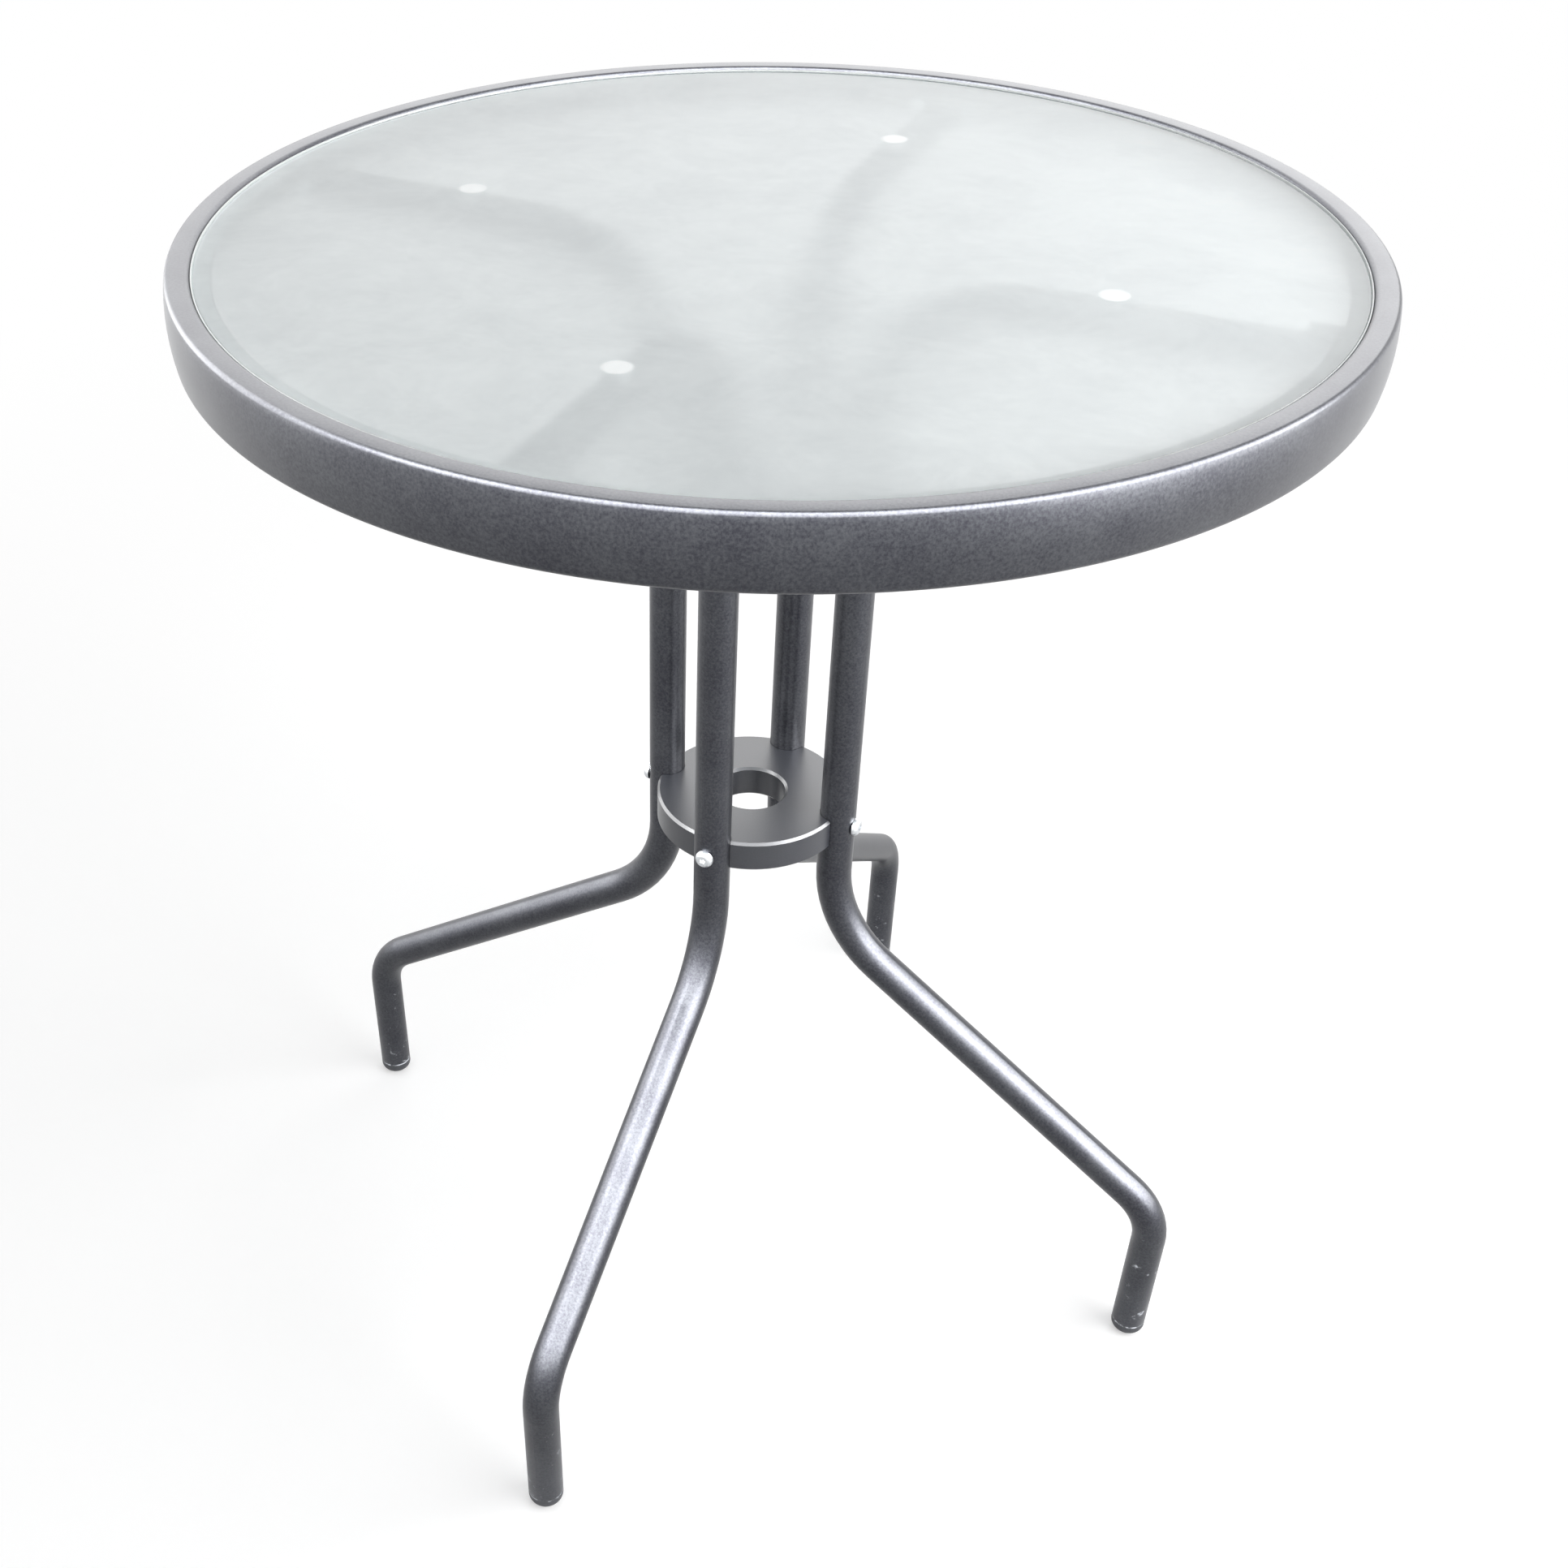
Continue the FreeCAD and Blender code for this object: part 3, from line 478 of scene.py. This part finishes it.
def pick_loops(loops):
    """Selects the edges that run round the axis at any of the (radius, height) pairs."""
    bpy.ops.mesh.select_all(action="DESELECT")
    bpy.ops.mesh.select_mode(type="EDGE")
    shape = bmesh.from_edit_mesh(bpy.context.object.data)
    for edge in shape.edges:
        places = [(math.hypot(vertex.co.x, vertex.co.y) / MM, vertex.co.z / MM) for vertex in edge.verts]
        for loop in loops:
            edge.select |= all(math.dist(place, loop) < PICK_REACH for place in places)
    shape.select_flush_mode()
    bmesh.update_edit_mesh(bpy.context.object.data)


def bend_loops(loops, size, steps):
    """Rounds the picked loops to a radius in mm."""
    pick_loops(loops)
    bpy.ops.mesh.bevel(offset=size * MM, segments=steps, profile=0.5, affect="EDGES")


print("loops are picked within", PICK_REACH, "mm")

# %% Finish a piece
SMOOTH_BELOW = math.radians(32)


def finish_piece(piece, node, body, slot, stands_for_node=True):
    """Closes and smooths a piece, gives it its finish and its body, and hides the node it stands for."""
    bpy.ops.mesh.select_all(action="SELECT")
    bpy.ops.mesh.remove_doubles(threshold=0.001 * MM)
    bpy.ops.mesh.normals_make_consistent(inside=False)
    bpy.ops.object.mode_set(mode="OBJECT")
    bpy.ops.object.shade_smooth_by_angle(angle=SMOOTH_BELOW)
    piece.data.materials.clear()
    piece.data.materials.append(MATERIALS[slot])
    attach(piece, body)
    if stands_for_node:
        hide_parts(node)
    print(piece.name, "has", len(piece.data.polygons), "faces")


print("faces shade smoothly below", round(math.degrees(SMOOTH_BELOW)), "degrees")

# %% [markdown]
# The rolled rim
#
# On the real table the rim is one strip of 1.5 mm steel, rolled to its section and bent into a
# hoop: a hem, a skirt that bulges by 2 mm, a flat lip, a step down beside the glass and a ledge
# under it. A spun section would do as well. Here one ring of edges is extruded from corner to
# corner of the section, so each size can be read, and the bends are then rounded as a folding
# tool would leave them. The construction has the same shape with fewer, flatter faces, which
# showed as corners along the outline.

# %% A hoop from its section
HOOP_TURNS = 256


def extrude_hoop(name, section):
    """A hoop: a ring of edges, extruded from corner to corner of a section and closed."""
    radius, height = section[0]
    hoop = start_piece(bpy.ops.mesh.primitive_circle_add, name, vertices=HOOP_TURNS, radius=radius * MM,
                       location=(0, 0, height * MM), fill_type="NOTHING")
    bpy.ops.mesh.select_all(action="SELECT")
    for (radius, height), (next_radius, next_height) in zip(section, section[1:]):
        bpy.ops.mesh.extrude_edges_move(TRANSFORM_OT_translate={"value": (0, 0, (next_height - height) * MM)})
        growth = next_radius / radius
        bpy.ops.transform.resize(value=(growth, growth, 1), center_override=(0, 0, next_height * MM))
    pick_loops([section[0], section[-1]])
    bpy.ops.mesh.bridge_edge_loops()
    return hoop


print("hoops have", HOOP_TURNS, "steps round the table")

# %% Rim section
WALL = 1.5
RIM_RADIUS = 300
HEM_INSIDE = 294
LIP_INSIDE = 288
LEDGE_INSIDE = 278
SKIRT_STEPS = 8
BULGE = 2.0


def skirt_line(radius, foot, top):
    """Points up a bulging skirt, from its foot to its top."""
    points = []
    for step in range(SKIRT_STEPS + 1):
        share = step / SKIRT_STEPS
        bulge = BULGE * (1 - (2 * share - 1) ** 2)
        points.append((radius + bulge, foot + share * (top - foot)))
    return points


RIM_SECTION = [(HEM_INSIDE, RIM_FOOT), *skirt_line(RIM_RADIUS, RIM_FOOT, RIM_TOP), (LIP_INSIDE, RIM_TOP),
               (LIP_INSIDE, LEDGE_TOP), (LEDGE_INSIDE, LEDGE_TOP), (LEDGE_INSIDE, LEDGE_TOP - WALL),
               (LIP_INSIDE + WALL, LEDGE_TOP - WALL), (LIP_INSIDE + WALL, RIM_TOP - WALL),
               *reversed(skirt_line(RIM_RADIUS - WALL, RIM_FOOT + WALL, RIM_TOP - WALL)),
               (HEM_INSIDE, RIM_FOOT + WALL)]
print("rim section:", len(RIM_SECTION), "corners")

# %% Extrude the rim and round its bends
RIM_BENDS = [((RIM_RADIUS, RIM_TOP), 2.0, 5),
             ((RIM_RADIUS, RIM_FOOT), 3.0, 5),
             ((LIP_INSIDE, RIM_TOP), 2.5, 5),
             ((RIM_RADIUS - WALL, RIM_TOP - WALL), 0.5, 2),
             ((RIM_RADIUS - WALL, RIM_FOOT + WALL), 1.5, 3),
             ((LIP_INSIDE + WALL, RIM_TOP - WALL), 1.0, 3)]
rim = extrude_hoop("rolled_rim", RIM_SECTION)
for corner, bend, steps in RIM_BENDS:
    bend_loops([corner], bend, steps)
finish_piece(rim, "top_rim", "frame", "coated_steel")

# %% [markdown]
# The glass sheet
#
# The sheet is 574 mm across and its two edges are ground off. A cylinder with both edges
# bevelled is all that its shape needs, and a narrow inset keeps the shading of its flat faces
# flat up to the ground edges. It is drawn 0.2 mm thinner underneath than the construction, so
# that it doesn't share a face with the seal and the bumpers that carry it.

# %% Glass sheet
THINNER_BY = 0.2
GLASS_FOOT = GLASS_SEAT + THINNER_BY
GROUND_EDGE = 0.8
FLAT_FACE_INSET = 0.5

glass = start_piece(bpy.ops.mesh.primitive_cylinder_add, "glass_sheet", vertices=HOOP_TURNS,
                    radius=GLASS_RADIUS * MM, depth=(GLASS_TOP - GLASS_FOOT) * MM,
                    location=(0, 0, (GLASS_TOP + GLASS_FOOT) / 2 * MM))
bend_loops([(GLASS_RADIUS, GLASS_TOP), (GLASS_RADIUS, GLASS_FOOT)], GROUND_EDGE, 2)
bpy.ops.mesh.select_mode(type="FACE")
bpy.ops.mesh.select_all(action="DESELECT")
bpy.ops.mesh.select_face_by_sides(number=4, type="GREATER")
bpy.ops.mesh.inset(thickness=FLAT_FACE_INSET * MM)
finish_piece(glass, "glass_top", "glass", "rippled_glass")

# %% [markdown]
# The seal round the glass
#
# The glass lies on a soft strip that turns up beside its edge and fills most of the gap to the
# rim, so a pale line runs round the sheet where steel would look black. The construction holds
# the flat part only. A strip could be bent along a curve, but a hoop from a section is simpler
# and meets the rim on all its steps, so it is made as the rim was.

# %% Seal strip
SEAL_SETBACK = 1
SEAL_GAP = 0.15
SEAL_RISE = 0.6
SEAL_INSIDE = LEDGE_INSIDE + SEAL_SETBACK
SEAL_OUTSIDE = LIP_INSIDE - SEAL_GAP
SEAL_TOP = GLASS_TOP + SEAL_RISE
UPTURN_INSIDE = GLASS_RADIUS + SEAL_GAP
UPTURN_BEND = 0.2
SEAL_SECTION = [(SEAL_INSIDE, LEDGE_TOP), (SEAL_OUTSIDE, LEDGE_TOP), (SEAL_OUTSIDE, SEAL_TOP),
                (UPTURN_INSIDE, SEAL_TOP), (UPTURN_INSIDE, GLASS_SEAT), (SEAL_INSIDE, GLASS_SEAT)]
seal = extrude_hoop("seal_strip", SEAL_SECTION)
bend_loops([(SEAL_OUTSIDE, SEAL_TOP), (UPTURN_INSIDE, SEAL_TOP)], UPTURN_BEND, 2)
finish_piece(seal, "glass_seal", "frame", "seal_strip")

# %% [markdown]
# Welds on the rim tabs
#
# Each tab is held by two short beads of weld on its open side: one under the ledge of the rim
# and one down the inside of the skirt. The ripples are left by the steps of the torch. A swept
# curve would need a second shape for the ripples, so a small disc is extruded step by step
# instead and every other ring is drawn in. The two beads at the right tab are made once and
# copied round to the other three.

# %% One weld bead
BEAD_SIDES = 12
BEAD_PITCH = 1.1
BEAD_WAIST = 0.86
BEAD_END = 0.5


def weld_bead(name, start, end, radius):
    """A rippled bead from one point to another, all in mm."""
    start, end = Vector(start), Vector(end)
    steps = 2 * round((end - start).length / BEAD_PITCH)
    stride = (end - start) / steps
    turn = stride.to_track_quat("Z", "Y").to_euler()
    bead = start_piece(bpy.ops.mesh.primitive_circle_add, name, vertices=BEAD_SIDES,
                       radius=BEAD_END * radius * MM, location=start * MM, rotation=turn, fill_type="NGON")
    bpy.ops.mesh.select_all(action="SELECT")
    size = BEAD_END
    for step in range(1, steps + 1):
        bpy.ops.mesh.extrude_region_move(TRANSFORM_OT_translate={"value": stride * MM})
        next_size = BEAD_END if step == steps else (1.0 if step % 2 else BEAD_WAIST)
        bpy.ops.transform.resize(value=(next_size / size,) * 3, center_override=(start + stride * step) * MM)
        size = next_size
    return bead


def copy_round(piece, name, degrees):
    """A copy of a finished piece with its own mesh, turned about the table's axis."""
    twin = piece.copy()
    twin.data = piece.data.copy()
    twin.name = name
    bpy.context.scene.collection.objects.link(twin)
    bpy.ops.object.select_all(action="DESELECT")
    twin.select_set(True)
    bpy.context.view_layer.objects.active = twin
    bpy.ops.transform.rotate(value=math.radians(degrees), orient_axis="Z", center_override=(0, 0, 0))
    bpy.ops.object.transform_apply(location=True, rotation=True, scale=True)
    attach(twin, "frame")


print("a bead has a ripple every", BEAD_PITCH, "mm")

# %% Welds of the four tabs
TAB_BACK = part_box("right_rim_tab")[1][1] / MM
BEAD_LINE = TAB_BACK + 0.7
LEDGE_BEAD_HEIGHT = LEDGE_TOP - WALL - 0.5
SKIRT_BEAD_RADIUS = RIM_RADIUS - 0.7
WELDS = {"ledge_weld": ((278.8, BEAD_LINE, LEDGE_BEAD_HEIGHT), (288.4, BEAD_LINE, LEDGE_BEAD_HEIGHT), 1.3),
         "skirt_weld": ((SKIRT_BEAD_RADIUS, BEAD_LINE, 689.0), (SKIRT_BEAD_RADIUS, BEAD_LINE, 673.5), 1.4)}
for kind, (start, end, radius) in WELDS.items():
    bead = weld_bead(f"right_{kind}", start, end, radius)
    finish_piece(bead, None, "frame", "coated_steel", stands_for_node=False)
    for side, degrees in (("back", 90), ("left", 180), ("front", 270)):
        copy_round(bead, f"{side}_{kind}", degrees)
print("welds:", 4 * len(WELDS), "beads, the tab's back at", round(TAB_BACK, 2), "mm")

# %% [markdown]
# The floor and the background
#
# The portrait stands on plain white. A pale floor takes the table's soft shadow near the feet
# and turns to clean white further out, and the world is white to the camera and in
# reflections. Brighter lamps could make the floor white too, but they would bleach the table.
# In reflections the floor is darker near the table than the camera sees it and brighter far
# out, which keeps the lower sides of the tubes dark.

# %% What the camera and reflections see
WHITE = (1, 1, 1, 1)
FILL_LEVEL = 0.57


def seen_directly(tree):
    """One for rays from the camera, a shiny surface or glass that no matt surface has scattered."""
    rays = add_node(tree, "ShaderNodeLightPath")
    either = add_node(tree, "ShaderNodeMath", {
        0: rays.outputs["Is Camera Ray"], 1: rays.outputs["Is Glossy Ray"]}, operation="MAXIMUM")
    direct = add_node(tree, "ShaderNodeMath", {
        0: either.outputs[0], 1: rays.outputs["Is Transmission Ray"]}, operation="MAXIMUM")
    clean = add_node(tree, "ShaderNodeMath", {
        0: rays.outputs["Diffuse Depth"], 1: 0.5}, operation="LESS_THAN")
    seen = add_node(tree, "ShaderNodeMath", {0: direct.outputs[0], 1: clean.outputs[0]}, operation="MULTIPLY")
    return seen.outputs[0]


print("the world shows at", WHITE[0], "and lights matt surfaces at", FILL_LEVEL)

# %% Floor
FLOOR_RADIUS = 9.0
FLOOR_SIDES = 96
FADE_START, FADE_END = 0.55, 1.9
FLOOR_COLOUR = screen_colour("d7d7d7")
NEAR_LIFT, NEAR_LIFT_MIRRORED = 0.40, 0.08
FAR_WHITE, FAR_WHITE_MIRRORED = 1.0, 1.25


def make_floor_material():
    """Matt and pale near the table, plain white far out."""
    material, tree, output, place = new_material("white_studio_floor")
    direct = seen_directly(tree)
    mirrored = add_node(tree, "ShaderNodeLightPath").outputs["Is Glossy Ray"]
    matte = add_node(tree, "ShaderNodeBsdfDiffuse", {"Color": FLOOR_COLOUR})
    share = add_node(tree, "ShaderNodeMapRange", {
        "Value": mirrored, "To Min": NEAR_LIFT, "To Max": NEAR_LIFT_MIRRORED})
    lift = add_node(tree, "ShaderNodeMath", {0: direct, 1: share.outputs[0]}, operation="MULTIPLY")
    glow = add_node(tree, "ShaderNodeEmission", {"Color": WHITE, "Strength": lift.outputs[0]})
    near = add_node(tree, "ShaderNodeAddShader", {0: matte.outputs[0], 1: glow.outputs[0]})
    far = add_node(tree, "ShaderNodeMapRange", {
        "Value": mirrored, "To Min": FAR_WHITE, "To Max": FAR_WHITE_MIRRORED})
    white = add_node(tree, "ShaderNodeEmission", {"Color": WHITE, "Strength": far.outputs[0]})
    distance = add_node(tree, "ShaderNodeVectorMath", {0: place}, operation="LENGTH")
    fade = add_node(tree, "ShaderNodeMapRange", {
        "Value": distance.outputs["Value"], "From Min": FADE_START, "From Max": FADE_END},
        interpolation_type="SMOOTHSTEP")
    amount = add_node(tree, "ShaderNodeMath", {0: fade.outputs[0], 1: direct}, operation="MULTIPLY")
    mix = add_node(tree, "ShaderNodeMixShader", {
        0: amount.outputs[0], 1: near.outputs[0], 2: white.outputs[0]})
    tree.links.new(mix.outputs[0], output.inputs["Surface"])
    return material


bpy.ops.object.select_all(action="DESELECT")
bpy.ops.mesh.primitive_circle_add(vertices=FLOOR_SIDES, radius=FLOOR_RADIUS, fill_type="NGON")
floor = bpy.context.object
floor.name = "studio_floor"
floor.data.materials.append(make_floor_material())
print("floor: pale up to", FADE_START, "m and white from", FADE_END, "m")

# %% World
def make_world():
    """White to the camera and in reflections, and dimmer as a light on the table."""
    world = bpy.data.worlds.new("white_studio")
    world.use_nodes = True
    tree = world.node_tree
    tree.nodes.clear()
    level = add_node(tree, "ShaderNodeMapRange", {
        "Value": seen_directly(tree), "To Min": FILL_LEVEL, "To Max": 1.0})
    sky = add_node(tree, "ShaderNodeBackground", {"Color": WHITE, "Strength": level.outputs[0]})
    output = add_node(tree, "ShaderNodeOutputWorld")
    tree.links.new(sky.outputs[0], output.inputs["Surface"])
    return world


bpy.context.scene.world = make_world()
print("the world is", bpy.context.scene.world.name)

# %% [markdown]
# The lamps and the cards
#
# A dim panel behind the table and a softbox on the right light it plainly. Four large cards
# show only in shiny surfaces: they give the tubes, the lip and the skirt their long soft
# highlights. Stronger lamps would give the same highlights but bleach the glass and the floor.
# The glass doesn't mirror the cards, because it would turn white from behind, so they are kept
# off it by light linking.

# %% A soft lamp and its gradient
RIM_MIDDLE = (0, 0, 0.7)
TABLE_MIDDLE = (0, 0, 0.35)


def soft_lamp(name, place, target, width, height, power):
    """A soft rectangle of light that faces a point: sides in metres and power in watts."""
    lamp = bpy.data.objects.new(name, bpy.data.lights.new(name, "AREA"))
    lamp.data.shape = "RECTANGLE"
    lamp.data.size = width
    lamp.data.size_y = height
    lamp.data.energy = power
    lamp.location = place
    lamp.rotation_euler = (Vector(target) - Vector(place)).to_track_quat("-Z", "Y").to_euler()
    lamp.visible_camera = False
    bpy.context.scene.collection.objects.link(lamp)
    return lamp


def grade_lamp(lamp, left, right, foot, top):
    """Makes a lamp brighter towards one side and its top, as shares of its plain brightness."""
    lamp.data.use_nodes = True
    tree = lamp.data.node_tree
    tree.nodes.clear()
    place = add_node(tree, "ShaderNodeNewGeometry").outputs["Parametric"]
    spot = add_node(tree, "ShaderNodeSeparateXYZ", {0: place})
    across = add_node(tree, "ShaderNodeMapRange", {
        "Value": spot.outputs["X"], "To Min": left, "To Max": right})
    upward = add_node(tree, "ShaderNodeMapRange", {
        "Value": spot.outputs["Y"], "To Min": foot, "To Max": top})
    level = add_node(tree, "ShaderNodeMath", {
        0: across.outputs[0], 1: upward.outputs[0]}, operation="MULTIPLY")
    light = add_node(tree, "ShaderNodeEmission", {"Color": WHITE, "Strength": level.outputs[0]})
    output = add_node(tree, "ShaderNodeOutputLight")
    tree.links.new(light.outputs[0], output.inputs["Surface"])


print("lamps face", RIM_MIDDLE, "or", TABLE_MIDDLE, "in metres")

# %% Lamps and cards
LAMPS = {"back_panel": ((-0.8, 2.0, 1.62), RIM_MIDDLE, 3.2, 1.5, 14),
         "key_softbox": ((1.72, 0.15, 1.15), TABLE_MIDDLE, 2.2, 0.85, 35)}
CARDS = {"overhead_card": ((0.35, -1.28, 2.0), TABLE_MIDDLE, 5.2, 2.8, 620),
         "right_card": ((2.0, 0.15, 1.22), TABLE_MIDDLE, 2.4, 1.8, 145),
         "left_card": ((-1.85, -0.35, 1.35), TABLE_MIDDLE, 2.6, 1.9, 98),
         "back_card": ((-0.82, 2.05, 1.642), RIM_MIDDLE, 3.28, 1.54, 24)}
GRADES = {"back_panel": (2.1, 0.6, 0.45, 1.3), "overhead_card": (1.0, 1.0, 0.3, 1.7),
          "back_card": (0.97, 0.78, 0.45, 1.3)}

not_glass = bpy.data.collections.new("not_lit_by_cards")
not_glass.objects.link(glass)
not_glass.collection_objects[0].light_linking.link_state = "EXCLUDE"
for name, settings in {**LAMPS, **CARDS}.items():
    lamp = soft_lamp(name, *settings)
    if name in GRADES:
        grade_lamp(lamp, *GRADES[name])
    if name in CARDS:
        lamp.visible_diffuse = False
        lamp.visible_transmission = False
        lamp.light_linking.receiver_collection = not_glass
bpy.context.scene.view_settings.view_transform = "Standard"
print("lights:", ", ".join([*LAMPS, *CARDS]))
